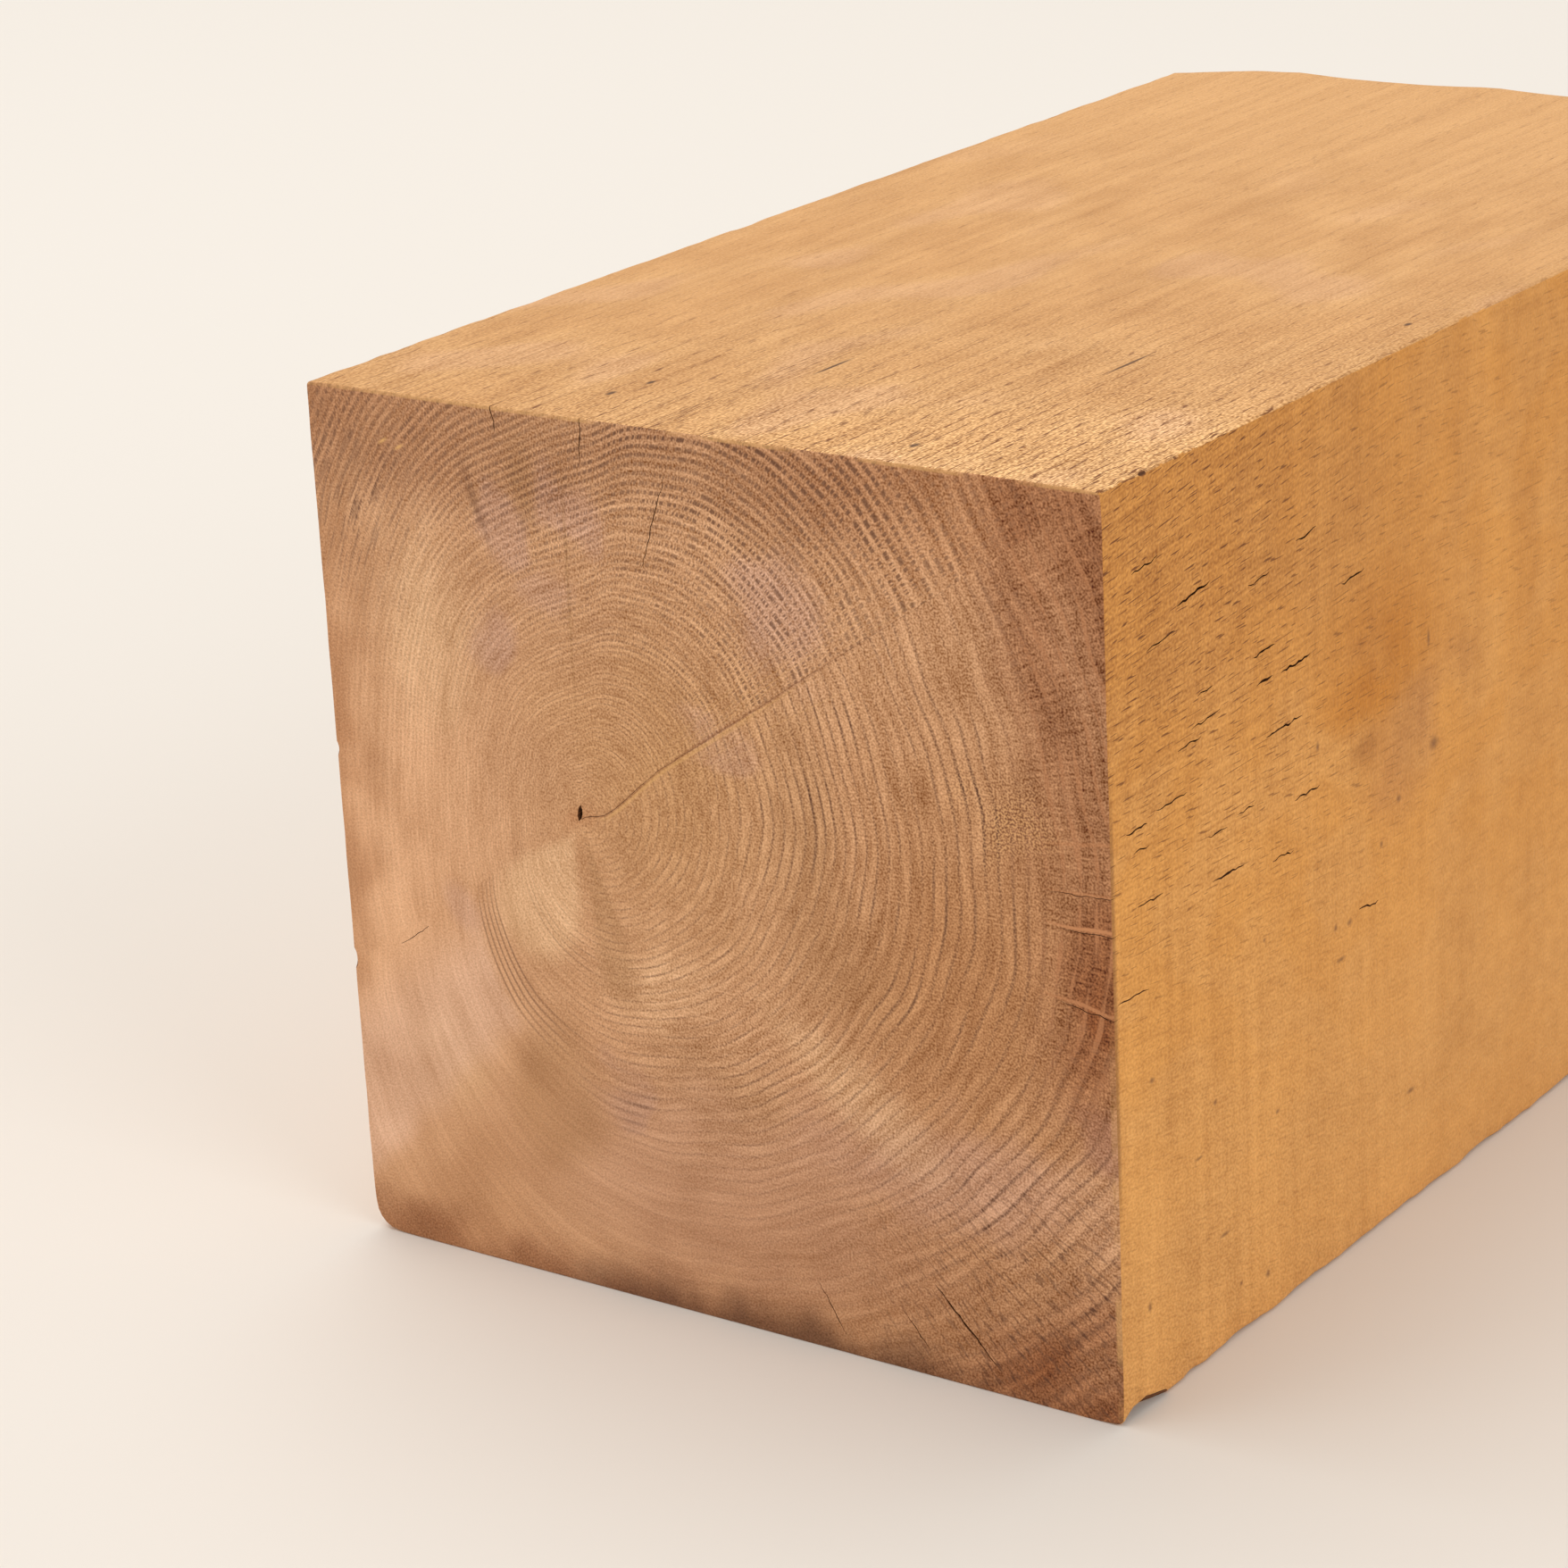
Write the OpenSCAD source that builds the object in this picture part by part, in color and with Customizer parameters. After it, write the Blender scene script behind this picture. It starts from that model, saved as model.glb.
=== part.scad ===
// Short sawn oak post, boxed heart, lying on one long face.
// Frame: X across the section, Y along the grain, Z up.
// Origin: middle of the base. The sawn end faces -Y, the rough end +Y.

/* [Post] */
// Width of the section, left to right
post_w = 100; // [70:1:200]
// Height of the section as the post lies
post_h = 100; // [70:1:200]
// Length from the sawn end to the furthest point of the rough end
post_l = 191; // [120:1:600]

/* [Long edges] */
// Radius worn on the upper left edge
edge_top_left = 0.6; // [0.2:0.1:6]
// Radius worn on the upper right edge
edge_top_right = 0.8; // [0.2:0.1:6]
// Radius worn on the lower right edge
edge_bottom_right = 0.8; // [0.2:0.1:6]
// Radius of the rounded lower left edge
edge_bottom_left = 3; // [0.2:0.1:12]
// Width of the narrow bevel where the sawn end meets the right face
end_bevel = 0.5; // [0.1:0.1:3]

/* [Rough end] */
// Distance between two ridges left by the saw
scallop_pitch = 29; // [10:1:60]
// Depth of a hollow between two ridges
scallop_depth = 2; // [0.5:0.1:5]
// Distance of the first ridge from the left face
first_ridge = 17; // [2:1:28]
// How far the left corner falls back behind the ridges
corner_fall = 7; // [1:0.5:20]
// Width of the slanting cut at that corner
corner_run = 13; // [4:1:40]

/* [Heart] */
// Distance of the pith from the left face
pith_from_left = 34; // [20:1:80]
// Height of the pith above the base
pith_height = 55.5; // [20:0.5:80]
// Length of the open slot at the pith
pith_slot_l = 2.4; // [1:0.1:6]
// Width of that slot
pith_slot_w = 0.5; // [0.2:0.05:2]
// Length of the heart check that runs out from the pith
heart_check_l = 46; // [10:1:60]
// Width of the heart check where it leaves the pith
heart_check_w = 0.3; // [0.1:0.05:1]
// Depth of the heart check
heart_check_depth = 5; // [1:0.5:20]
// Slope of the heart check above the level
heart_check_slope = 34; // [0:1:80]

/* [Drying checks] */
// Width of a drying check at its middle
check_w = 0.4; // [0.1:0.05:1]

/* [Chips] */
// Length of the torn chip on the lower right edge
torn_chip_l = 11; // [4:0.5:20]
// Depth of that chip
torn_chip_depth = 1.2; // [0.4:0.1:3]
// Distance of the middle of that chip from the sawn end
torn_chip_along = 4.5; // [1:0.5:20]
// Length of a small chip on the upper right edge
small_chip_l = 5; // [2:0.5:10]
// Depth of a small chip
small_chip_depth = 0.5; // [0.2:0.1:2]
// Height of the nick in the left edge of the sawn end
nick_height = 33; // [10:1:60]
// Length of that nick
nick_l = 3; // [1:0.5:8]
// Depth of that nick
nick_depth = 0.4; // [0.2:0.1:1]

/* [Hidden] */
$fn = 64;
// How far a cutting shape reaches past the face it cuts
over = 1;
right_x = post_w / 2;
left_x = -post_w / 2;
sawn_y = -post_l / 2;
rough_y = post_l / 2;
pith_x = left_x + pith_from_left;

// Checks seen on the right face: [distance from the sawn end, height, length].
// Those at distance 0 break out through the sawn end as well.
right_checks = [
    [0, 58, 10], [0, 54.5, 8], [0, 45.5, 12],
    [17, 85, 6.5], [40, 85, 4], [8, 90.5, 5], [50, 78, 5],
    [31, 75, 4.5], [31, 72, 3], [37, 72, 6], [35, 65.5, 7.5],
    [5, 64, 4], [12.5, 64.5, 8], [27, 59, 3.5], [40, 57, 5],
    [23, 53, 6], [34.5, 51.5, 4.5], [53, 39.5, 4.5]
];
// Checks in the upper edge of the sawn end: [distance from the left face, length]
top_checks = [[25, 5], [36.5, 10]];
// Checks inside the sawn end: [distance from the left face, height, length]
end_checks = [[45.5, 89.5, 11], [63.5, 5, 6.5], [74.5, 5, 5], [80.5, 7, 11]];
// Small chips on the upper right edge, by their distance from the sawn end
small_chips = [8, 14.5, 27];

// Radius of the sphere or cylinder whose cap has this chord and this height
function cap_radius(chord, height) = (chord * chord / 4 + height * height) / (2 * height);

// What a worn edge of radius r takes off a square corner at the origin
module corner_waste(r) {
    difference() {
        translate([-over, -over]) square(r + over);
        translate([r, r]) circle(r);
    }
}

// The square section with its four worn edges
module section() {
    difference() {
        translate([left_x, 0]) square([post_w, post_h]);
        translate([left_x, 0]) corner_waste(edge_bottom_left);
        translate([right_x, 0]) mirror([1, 0]) corner_waste(edge_bottom_right);
        translate([left_x, post_h]) mirror([0, 1]) corner_waste(edge_top_left);
        translate([right_x, post_h]) mirror([1, 0]) mirror([0, 1]) corner_waste(edge_top_right);
    }
}

// Upright hollows that a wandering saw left across the rough end
module rough_end_waste() {
    scallop_r = cap_radius(scallop_pitch, scallop_depth);
    for (ridge = [first_ridge - scallop_pitch : scallop_pitch : post_w])
        translate([left_x + ridge + scallop_pitch / 2, rough_y - scallop_depth + scallop_r, -over])
            cylinder(r = scallop_r, h = post_h + 2 * over);
    translate([left_x, rough_y, -over])
        linear_extrude(post_h + 2 * over)
            polygon([[-over, -corner_fall], [0, -corner_fall], [corner_run, 0], [corner_run, over], [-over, over]]);
}

// Narrow bevel down the right side of the sawn end
module end_bevel_waste() {
    translate([right_x, sawn_y, -over])
        linear_extrude(post_h + 2 * over)
            polygon([[-end_bevel, 0], [-end_bevel, -over], [over, -over], [over, end_bevel], [0, end_bevel]]);
}

// A shallow scoop out of an edge that passes through the point at, facing the unit vector out
module chip(at, out, length, depth) {
    r = cap_radius(length, depth);
    translate(at + out * (r - depth)) sphere(r);
}

// A thin round lens across the origin, flat in X and Y, that opens a check of this length
module check_lens(length, width) {
    r = cap_radius(length, width / 2);
    intersection() {
        translate([0, 0, r - width / 2]) sphere(r);
        translate([0, 0, width / 2 - r]) sphere(r);
    }
}

// A drying check: a lens in the plane that holds the pith and the grain, through section point (x, z)
module drying_check(x, along, z, length) {
    translate([x, sawn_y + along, z])
        rotate([0, -atan2(z - pith_height, x - pith_x), 0])
            check_lens(length, check_w);
}

// The open slot at the pith and the check that tapers away from it
module heart_check() {
    translate([pith_x, sawn_y, pith_height]) {
        rotate([0, -90, 0]) check_lens(pith_slot_l, pith_slot_w);
        rotate([0, -heart_check_slope, 0])
            translate([0, -over, 0])
                rotate([-90, 0, 0])
                    linear_extrude(over + heart_check_depth)
                        polygon([[0, -heart_check_w / 2], [heart_check_l, 0], [0, heart_check_w / 2]]);
    }
}

module all_checks() {
    heart_check();
    for (c = right_checks) drying_check(right_x, c[0], c[1], c[2]);
    for (c = top_checks) drying_check(left_x + c[0], 0, post_h, c[1]);
    for (c = end_checks) drying_check(left_x + c[0], 0, c[1], c[2]);
}

module all_chips() {
    diagonal = sqrt(0.5);
    chip([right_x, sawn_y + torn_chip_along, 0], [diagonal, 0, -diagonal], torn_chip_l, torn_chip_depth);
    for (along = small_chips)
        chip([right_x, sawn_y + along, post_h], [diagonal, 0, diagonal], small_chip_l, small_chip_depth);
    chip([left_x, sawn_y, nick_height], [-diagonal, -diagonal, 0], nick_l, nick_depth);
}

module post() {
    color([0.80, 0.56, 0.32])
        difference() {
            rotate([90, 0, 0]) linear_extrude(post_l, center = true) section();
            rough_end_waste();
            end_bevel_waste();
            all_chips();
            all_checks();
        }
}

post();
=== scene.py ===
# Short sawn oak post: its skin, checks, wood and the studio round it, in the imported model's own frame.
import math
from collections import namedtuple

import bmesh
import bpy
from mathutils import Euler, Matrix, Vector, noise


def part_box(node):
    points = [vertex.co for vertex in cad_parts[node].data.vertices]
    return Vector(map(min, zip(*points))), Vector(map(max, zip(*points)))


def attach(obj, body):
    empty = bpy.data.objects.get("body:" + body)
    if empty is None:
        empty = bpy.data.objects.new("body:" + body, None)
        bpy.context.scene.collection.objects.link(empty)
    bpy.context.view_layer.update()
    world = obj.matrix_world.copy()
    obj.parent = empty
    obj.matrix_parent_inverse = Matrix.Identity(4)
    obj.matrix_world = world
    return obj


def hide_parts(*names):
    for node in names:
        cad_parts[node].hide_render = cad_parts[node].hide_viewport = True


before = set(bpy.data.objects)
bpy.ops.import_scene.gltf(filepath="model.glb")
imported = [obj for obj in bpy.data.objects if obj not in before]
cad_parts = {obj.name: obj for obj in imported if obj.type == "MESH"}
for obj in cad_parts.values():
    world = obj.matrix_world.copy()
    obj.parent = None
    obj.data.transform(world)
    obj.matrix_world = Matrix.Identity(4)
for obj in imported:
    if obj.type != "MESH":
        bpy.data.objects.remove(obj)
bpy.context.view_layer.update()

# Sizes are in millimetres, as in the solid, and turn into metres where an object is made.
MM = 0.001
low, high = (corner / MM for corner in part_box("post"))
LEFT, RIGHT = low.x, high.x
SAWN, ROUGH = low.y, high.y
BASE, TOP = low.z, high.z
WIDTH, LENGTH, HEIGHT = high - low
MIDDLE = Vector(((LEFT + RIGHT) / 2, (BASE + TOP) / 2))

# Heart of the log, which the rings, rays and checks all follow
PITH_X = LEFT + 34
PITH_Z = BASE + 55.5
HEART_SLOPE = 34

# Long edges, in the order that the section's outline meets them: worn radius, depth and pitch of the wear
EDGES = {
    "lower_right": {"radius": 0.8, "wear": 0.45, "pitch": 7.0},
    "upper_right": {"radius": 0.7, "wear": 0.40, "pitch": 3.0},
    "upper_left": {"radius": 0.6, "wear": 0.15, "pitch": 6.0},
    "lower_left": {"radius": 3.0, "wear": 0.50, "pitch": 11.0},
}
WEAR_REACH = 1.2
SAWN_EASE = 0.3
SAWN_EASE_RIGHT = 0.5
ROUGH_EASE = 1.2
# Turns of the quarter circle at which the rings of an eased end lie
EASE_TURNS = [math.radians(turn) for turn in (0, 30, 60, 90)]

# Skin mesh: stations along one side of the section, how they crowd at the edges, and rows along the length
SIDE_STATIONS = 60
EDGE_CROWDING = 0.78
ARC_STATIONS = 5
ROW_FIRST = 0.5
ROW_GROWTH = 1.02
ROW_LAST = 1.5
SAWN_CAP_RINGS = 14
ROUGH_CAP_RINGS = 44

# Rough end, as in the solid: upright hollows and a slanting cut at the left corner
SCALLOP_PITCH = 29
SCALLOP_DEPTH = 2
FIRST_RIDGE = 17
CORNER_FALL = 7
CORNER_RUN = 13

# Checks on the right face: distance from the sawn end, height, length, width
RIGHT_CHECKS = [
    (17, 85, 6.5, 0.42), (40, 85, 4.3, 0.28), (31, 75, 4.4, 0.38), (31, 71.7, 3.3, 0.42),
    (37.5, 71.7, 6.2, 0.42), (35, 65.6, 7.6, 0.34), (5.2, 63.9, 4, 0.34), (12, 64.7, 6, 0.28),
    (39.7, 56.8, 5.4, 0.36), (23, 53.3, 6.4, 0.36), (34.4, 51.4, 4.4, 0.26), (3.8, 46.5, 6, 0.26),
    (50, 77.7, 5, 0.3), (53, 39.5, 4.4, 0.3), (26.8, 59, 3.4, 0.26), (7.8, 90.5, 5, 0.26),
    (7.5, 55.6, 5, 0.26), (30, 82.9, 4.3, 0.24), (19, 71.2, 5.6, 0.24), (15.7, 69.6, 4.6, 0.26),
    (19, 74.3, 3, 0.24), (21, 58.4, 3.8, 0.26), (10.5, 82, 5.5, 0.22), (6, 61.5, 3, 0.22),
]
CHECK_DEPTH = 2.5
# Checks on the sawn end: angle about the pith, inner and outer radius, width
END_CHECKS = [
    (101, 42.6, 46.5, 0.24), (86, 39.6, 45.5, 0.2), (71, 31, 42, 0.18),
    (2.3, 59, 67.5, 0.12), (-1.3, 60, 67.5, 0.14), (-8.9, 60.5, 68, 0.16),
    (-59.4, 55.6, 62, 0.2), (-51.2, 62.6, 67.4, 0.18), (-45.9, 62, 73.4, 0.34), (216, 28, 33, 0.12),
]
END_CHECK_DEPTH = 2
# The heart check starts level, then sags a little below its own slope.
HEART_SAG = 1.0
SAG_DEEPEST = 3.5
SAG_END = 14
HEART_CHECK_LENGTH = 57
HEART_CHECK_WIDTH = 0.16
HEART_CHECK_DEPTH = 0.5
PITH_SLOT = {"length": 1.9, "width": 0.8, "depth": 4}

# Every check: spacing of its points, least half width, how far its wedge starts outside, and its sway by kind
CRACK_STEP = 0.6
CRACK_LEAST = 0.035
CRACK_LIFT = 0.4
RIGHT_SWAY = 0.35
END_SWAY = 0.25
HEART_SWAY = 0.1
# Checks of the right face climb or fall along it by up to this slope
RIGHT_SLOPE = 0.11
# Faces that meet at more than this angle are shaded with a sharp edge
SHARP_ANGLE = 40


def wander(*coordinates):
    """Smooth noise from -1 to 1, the same on every run."""
    return noise.noise(Vector(coordinates))


# Skin of the post

# A point of the section's outline, its outward normal, the nearest long edge and the distance from it
Station = namedtuple("Station", "place normal edge gap")


def side_stations(length):
    """Distances along a straight side, close together near both of its edges."""
    turns = [i / SIDE_STATIONS for i in range(SIDE_STATIONS + 1)]
    return [length * (t - EDGE_CROWDING * math.sin(math.tau * t) / math.tau) for t in turns]


def section_outline():
    """The section's stations, once round."""
    names = list(EDGES)
    corners = [Vector((RIGHT, BASE)), Vector((RIGHT, TOP)), Vector((LEFT, TOP)), Vector((LEFT, BASE))]
    normals = [Vector((0, -1)), Vector((1, 0)), Vector((0, 1)), Vector((-1, 0))]
    outline = []
    for k in range(4):
        start, end = names[k - 1], names[k]
        ahead = (corners[k] - corners[k - 1]).normalized()
        r_start, r_end = EDGES[start]["radius"], EDGES[end]["radius"]
        straight = (corners[k] - corners[k - 1]).length - r_start - r_end
        for s in side_stations(straight):
            place = corners[k - 1] + ahead * (r_start + s)
            edge = start if s < straight / 2 else end
            outline.append(Station(place, normals[k], edge, min(s, straight - s)))
        centre = corners[k] - ahead * r_end - normals[k] * r_end
        for j in range(1, ARC_STATIONS):
            turn = math.pi / 2 * j / ARC_STATIONS
            normal = normals[k] * math.cos(turn) + ahead * math.sin(turn)
            outline.append(Station(centre + normal * r_end, normal, end, 0))
    return outline


def edge_wear(edge, gap, along):
    """How far the worn edge lies inside the true one, at a distance from the edge and along it."""
    pitch, seed = EDGES[edge]["pitch"], 10 * list(EDGES).index(edge)
    rough = 0.35 + wander(along / pitch, seed, 0) + 0.5 * wander(along * 2.3 / pitch, seed, 5)
    return EDGES[edge]["wear"] * max(0, rough) * math.exp(-gap / WEAR_REACH)


def drawn_in(place, inset):
    """A point of the section drawn in towards its middle, by an inset at the middle of a side."""
    return place.lerp(MIDDLE, 2 * inset / WIDTH)


def worn(station, along):
    """Where the worn outline passes a station, at a distance along the post."""
    return station.place - station.normal * edge_wear(station.edge, station.gap, along)


def sawn_ease(station):
    """Width of the eased edge round the sawn end, wider down the right side."""
    place = station.place
    rough = 0.75 + 0.5 * wander(place.x / 4, place.y / 4, 3)
    right_side = max(0, station.normal.x) * (0.35 + 0.65 * (place.y < HEIGHT * 0.4))
    return rough * (SAWN_EASE + (SAWN_EASE_RIGHT - SAWN_EASE) * right_side)


def rough_fall(x, z):
    """How far the rough end lies behind its furthest point."""
    across = x - LEFT
    radius = (SCALLOP_PITCH ** 2 / 4 + SCALLOP_DEPTH ** 2) / (2 * SCALLOP_DEPTH)
    from_middle = (across - FIRST_RIDGE) % SCALLOP_PITCH - SCALLOP_PITCH / 2
    hollow = math.sqrt(radius ** 2 - from_middle ** 2) - (radius - SCALLOP_DEPTH)
    corner = CORNER_FALL * (1 - across / CORNER_RUN)
    torn = 0.35 * (1 + wander(x / 9, z / 22, 7)) + 0.2 * (1 + wander(x / 2.2, z / 14, 8))
    return max(hollow, corner) + torn


def row_distances():
    """Distances of the skin's rows from the sawn end, close together there."""
    rows, step = [], ROW_FIRST
    distance = step
    while distance < LENGTH - ROUGH_EASE - 2 * CORNER_FALL:
        rows.append(distance)
        step = min(ROW_LAST, step * ROW_GROWTH)
        distance += step
    return rows


def skin_rings():
    """Rings of points from the middle of the sawn end, along the length, to the middle of the rough end."""
    outline = section_outline()
    rings = []
    for i in range(1, SAWN_CAP_RINGS):
        ring = []
        for station in outline:
            rim = drawn_in(worn(station, 0), sawn_ease(station))
            flat = MIDDLE.lerp(rim, i / SAWN_CAP_RINGS)
            ring.append(Vector((flat.x, SAWN, flat.y)))
        rings.append(ring)
    for turn in EASE_TURNS:
        ring = []
        for station in outline:
            ease = sawn_ease(station)
            flat = drawn_in(worn(station, 0), ease * (1 - math.sin(turn)))
            ring.append(Vector((flat.x, SAWN + ease * (1 - math.cos(turn)), flat.y)))
        rings.append(ring)
    # Rows past the middle of the length stretch or shrink to meet the rough end
    rows = row_distances()
    middle_row = next(d for d in rows if d > LENGTH / 2)
    row_end = rows[-1] + ROW_LAST
    for d in rows:
        share = max(0, d - middle_row) / (row_end - middle_row)
        ring = []
        for station in outline:
            flat = worn(station, d)
            reach = LENGTH - ROUGH_EASE - rough_fall(*station.place)
            ring.append(Vector((flat.x, SAWN + d + share * (reach - row_end), flat.y)))
        rings.append(ring)
    for turn in EASE_TURNS:
        ring = []
        for station in outline:
            flat = drawn_in(worn(station, LENGTH), ROUGH_EASE * (1 - math.cos(turn)))
            along = LENGTH - rough_fall(*station.place) - ROUGH_EASE * (1 - math.sin(turn))
            ring.append(Vector((flat.x, SAWN + along, flat.y)))
        rings.append(ring)
    for i in range(ROUGH_CAP_RINGS - 1, 0, -1):
        ring = []
        for station in outline:
            rim = drawn_in(worn(station, LENGTH), ROUGH_EASE)
            flat = MIDDLE.lerp(rim, i / ROUGH_CAP_RINGS)
            ring.append(Vector((flat.x, ROUGH - rough_fall(flat.x, flat.y), flat.y)))
        rings.append(ring)
    return rings


def build_skin(slots):
    """The post's closed skin, with a material slot for each kind of face."""
    bm = bmesh.new()
    rings = [[bm.verts.new(p * MM) for p in ring] for ring in skin_rings()]
    count = len(rings[0])
    for near, far in zip(rings, rings[1:]):
        for i in range(count):
            j = (i + 1) % count
            bm.faces.new((near[i], near[j], far[j], far[i]))
    for ring, turn in ((rings[0], -1), (rings[-1], 1)):
        centre = bm.verts.new(sum((v.co for v in ring), Vector()) / count)
        for i in range(count):
            bm.faces.new((ring[i], ring[(i + 1) % count], centre)[::turn])
    bmesh.ops.recalc_face_normals(bm, faces=bm.faces)
    for face in bm.faces:
        face.material_index = slots.index(face_kind(face.normal))
        face.smooth = True
    return bm


def face_kind(normal):
    """Name of the wood that a face shows, by the way it faces."""
    if normal.y < -0.7:
        return "sawn_end"
    if normal.y > 0.5:
        return "rough_end"
    return "top_grain" if normal.z > 0.7 else "side_grain"


# Checks, cut out of the skin as thin ragged wedges


def crack(bm, path, width, depth, inward, blunt_end=False):
    """Adds a wedge that follows a path on the surface, tapers to its ends and narrows inward."""
    count = len(path) - 1
    rings = []
    for i, point in enumerate(path):
        ahead = (path[min(i + 1, count)] - path[max(i - 1, 0)]).normalized()
        across = ahead.cross(inward).normalized()
        share = i / count
        taper = share ** 3 if blunt_end else math.sqrt(max(0, 4 * share * (1 - share)))
        ragged = 0.75 + 0.5 * wander(*(point * 1.7))
        half = max(CRACK_LEAST, width / 2 * taper * ragged)
        bottom = point + inward * depth * (0.3 + 0.7 * taper)
        rim = point - inward * CRACK_LIFT
        rings.append([bm.verts.new(p * MM) for p in (rim - across * half, rim + across * half, bottom)])
    for near, far in zip(rings, rings[1:]):
        for i in range(3):
            j = (i + 1) % 3
            bm.faces.new((near[i], near[j], far[j], far[i]))
    bm.faces.new(rings[0][::-1])
    bm.faces.new(rings[-1])


def ragged_path(start, end, side, sway):
    """Points from start to end that sway a little to one side and the other."""
    steps = max(4, round((end - start).length / CRACK_STEP))
    path = []
    for i in range(steps + 1):
        point = start.lerp(end, i / steps)
        path.append(point + side * sway * wander(*(point * 0.9)))
    return path


def smooth_step(value, start, end):
    """Rises smoothly from 0 at start to 1 at end."""
    share = max(0, min(1, (value - start) / (end - start)))
    return share * share * (3 - 2 * share)


def heart_sag(out):
    """How far the heart check lies below its own slope, at a distance from the pith."""
    return HEART_SAG * smooth_step(out, 0, SAG_DEEPEST) * (1 - smooth_step(out, SAG_DEEPEST, SAG_END))


def radial_way(angle):
    """The way out from the pith in the plane of the sawn end, at an angle in degrees."""
    return Vector((math.cos(math.radians(angle)), 0, math.sin(math.radians(angle))))


def build_checks():
    """All the checks as one set of cutting wedges."""
    bm = bmesh.new()
    for along, height, length, width in RIGHT_CHECKS:
        rise = RIGHT_SLOPE * max(-1, min(1, (height - 60) / 25))
        middle = Vector((RIGHT, SAWN + along, height))
        half = Vector((0, length / 2, rise * length / 2))
        inward = Vector((PITH_X - RIGHT, 0, PITH_Z - height)).normalized()
        path = ragged_path(middle - half, middle + half, Vector((0, 0, 1)), RIGHT_SWAY)
        crack(bm, path, width, CHECK_DEPTH, inward)
    pith = Vector((PITH_X, SAWN, PITH_Z))
    inward = Vector((0, 1, 0))
    for angle, inner, outer, width in END_CHECKS:
        radial = radial_way(angle)
        path = ragged_path(pith + radial * inner, pith + radial * outer, radial.cross(inward), END_SWAY)
        crack(bm, path, width, END_CHECK_DEPTH, inward)
    radial = radial_way(HEART_SLOPE)
    side = radial.cross(inward)
    path = ragged_path(pith + radial * HEART_CHECK_LENGTH, pith, side, HEART_SWAY)
    path = [point - side * heart_sag((point - pith).length) for point in path]
    crack(bm, path, HEART_CHECK_WIDTH, HEART_CHECK_DEPTH, inward, blunt_end=True)
    slot_foot = pith - Vector((0.35, 0, 0.3))
    slot_top = slot_foot + Vector((0.3, 0, PITH_SLOT["length"]))
    path = ragged_path(slot_foot, slot_top, Vector((1, 0, 0)), HEART_SWAY)
    crack(bm, path, PITH_SLOT["width"], PITH_SLOT["depth"], inward)
    bmesh.ops.recalc_face_normals(bm, faces=bm.faces)
    return bm


# Chips torn out of the edges: place on the edge, the way out of the wood there, length and depth
CHIPS = [
    (Vector((RIGHT, SAWN + 4.5, BASE)), Vector((1, 0, -1)), 11, 1.3),
    (Vector((RIGHT, SAWN + 8, TOP)), Vector((1, 0, 1)), 4, 0.5),
    (Vector((RIGHT, SAWN + 14.5, TOP)), Vector((1, 0, 1)), 5, 0.45),
    (Vector((RIGHT, SAWN + 27, TOP)), Vector((1, 0, 1)), 5, 0.4),
    (Vector((LEFT, SAWN, BASE + 33)), Vector((-1, -1, 0)), 3, 0.4),
    (Vector((LEFT, SAWN, BASE + 58)), Vector((-1, -1, 0)), 2.4, 0.3),
]


def build_chips():
    """Ragged lumps that bite the chips out of the edges."""
    bm = bmesh.new()
    for place, out, length, depth in CHIPS:
        radius = (length ** 2 / 4 + depth ** 2) / (2 * depth)
        centre = place + out.normalized() * (radius - depth)
        made = bmesh.ops.create_icosphere(bm, subdivisions=4, radius=radius)
        for v in made["verts"]:
            ragged = 0.3 * depth * wander(*((v.co + centre) * 1.3))
            v.co = (centre + v.co * (1 + ragged / radius)) * MM
    return bm


# Wood, as shader maths written like Python maths


# How much red, green and blue follow a change of tone
TONE_SWING = (0.78, 1, 1.27)


class Field:
    """A number or colour that varies over a surface."""

    def __init__(self, sheet, socket):
        self.sheet = sheet
        self.socket = socket

    def __add__(self, other):
        return self.sheet.math("ADD", self, other)

    def __radd__(self, other):
        return self.sheet.math("ADD", other, self)

    def __sub__(self, other):
        return self.sheet.math("SUBTRACT", self, other)

    def __rsub__(self, other):
        return self.sheet.math("SUBTRACT", other, self)

    def __mul__(self, other):
        return self.sheet.math("MULTIPLY", self, other)

    def __rmul__(self, other):
        return self.sheet.math("MULTIPLY", other, self)

    def __truediv__(self, other):
        return self.sheet.math("DIVIDE", self, other)

    def step(self, start, end, height=1):
        """Rises smoothly from 0 at start to a height at end, or falls if end is the lower."""
        node = self.sheet.put("ShaderNodeMapRange", interpolation_type="SMOOTHSTEP")
        self.sheet.feed(node.inputs["Value"], self)
        node.inputs["From Min"].default_value = min(start, end)
        node.inputs["From Max"].default_value = max(start, end)
        node.inputs["To Min"].default_value = 0 if start < end else height
        node.inputs["To Max"].default_value = height if start < end else 0
        return Field(self.sheet, node.outputs["Result"])


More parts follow.
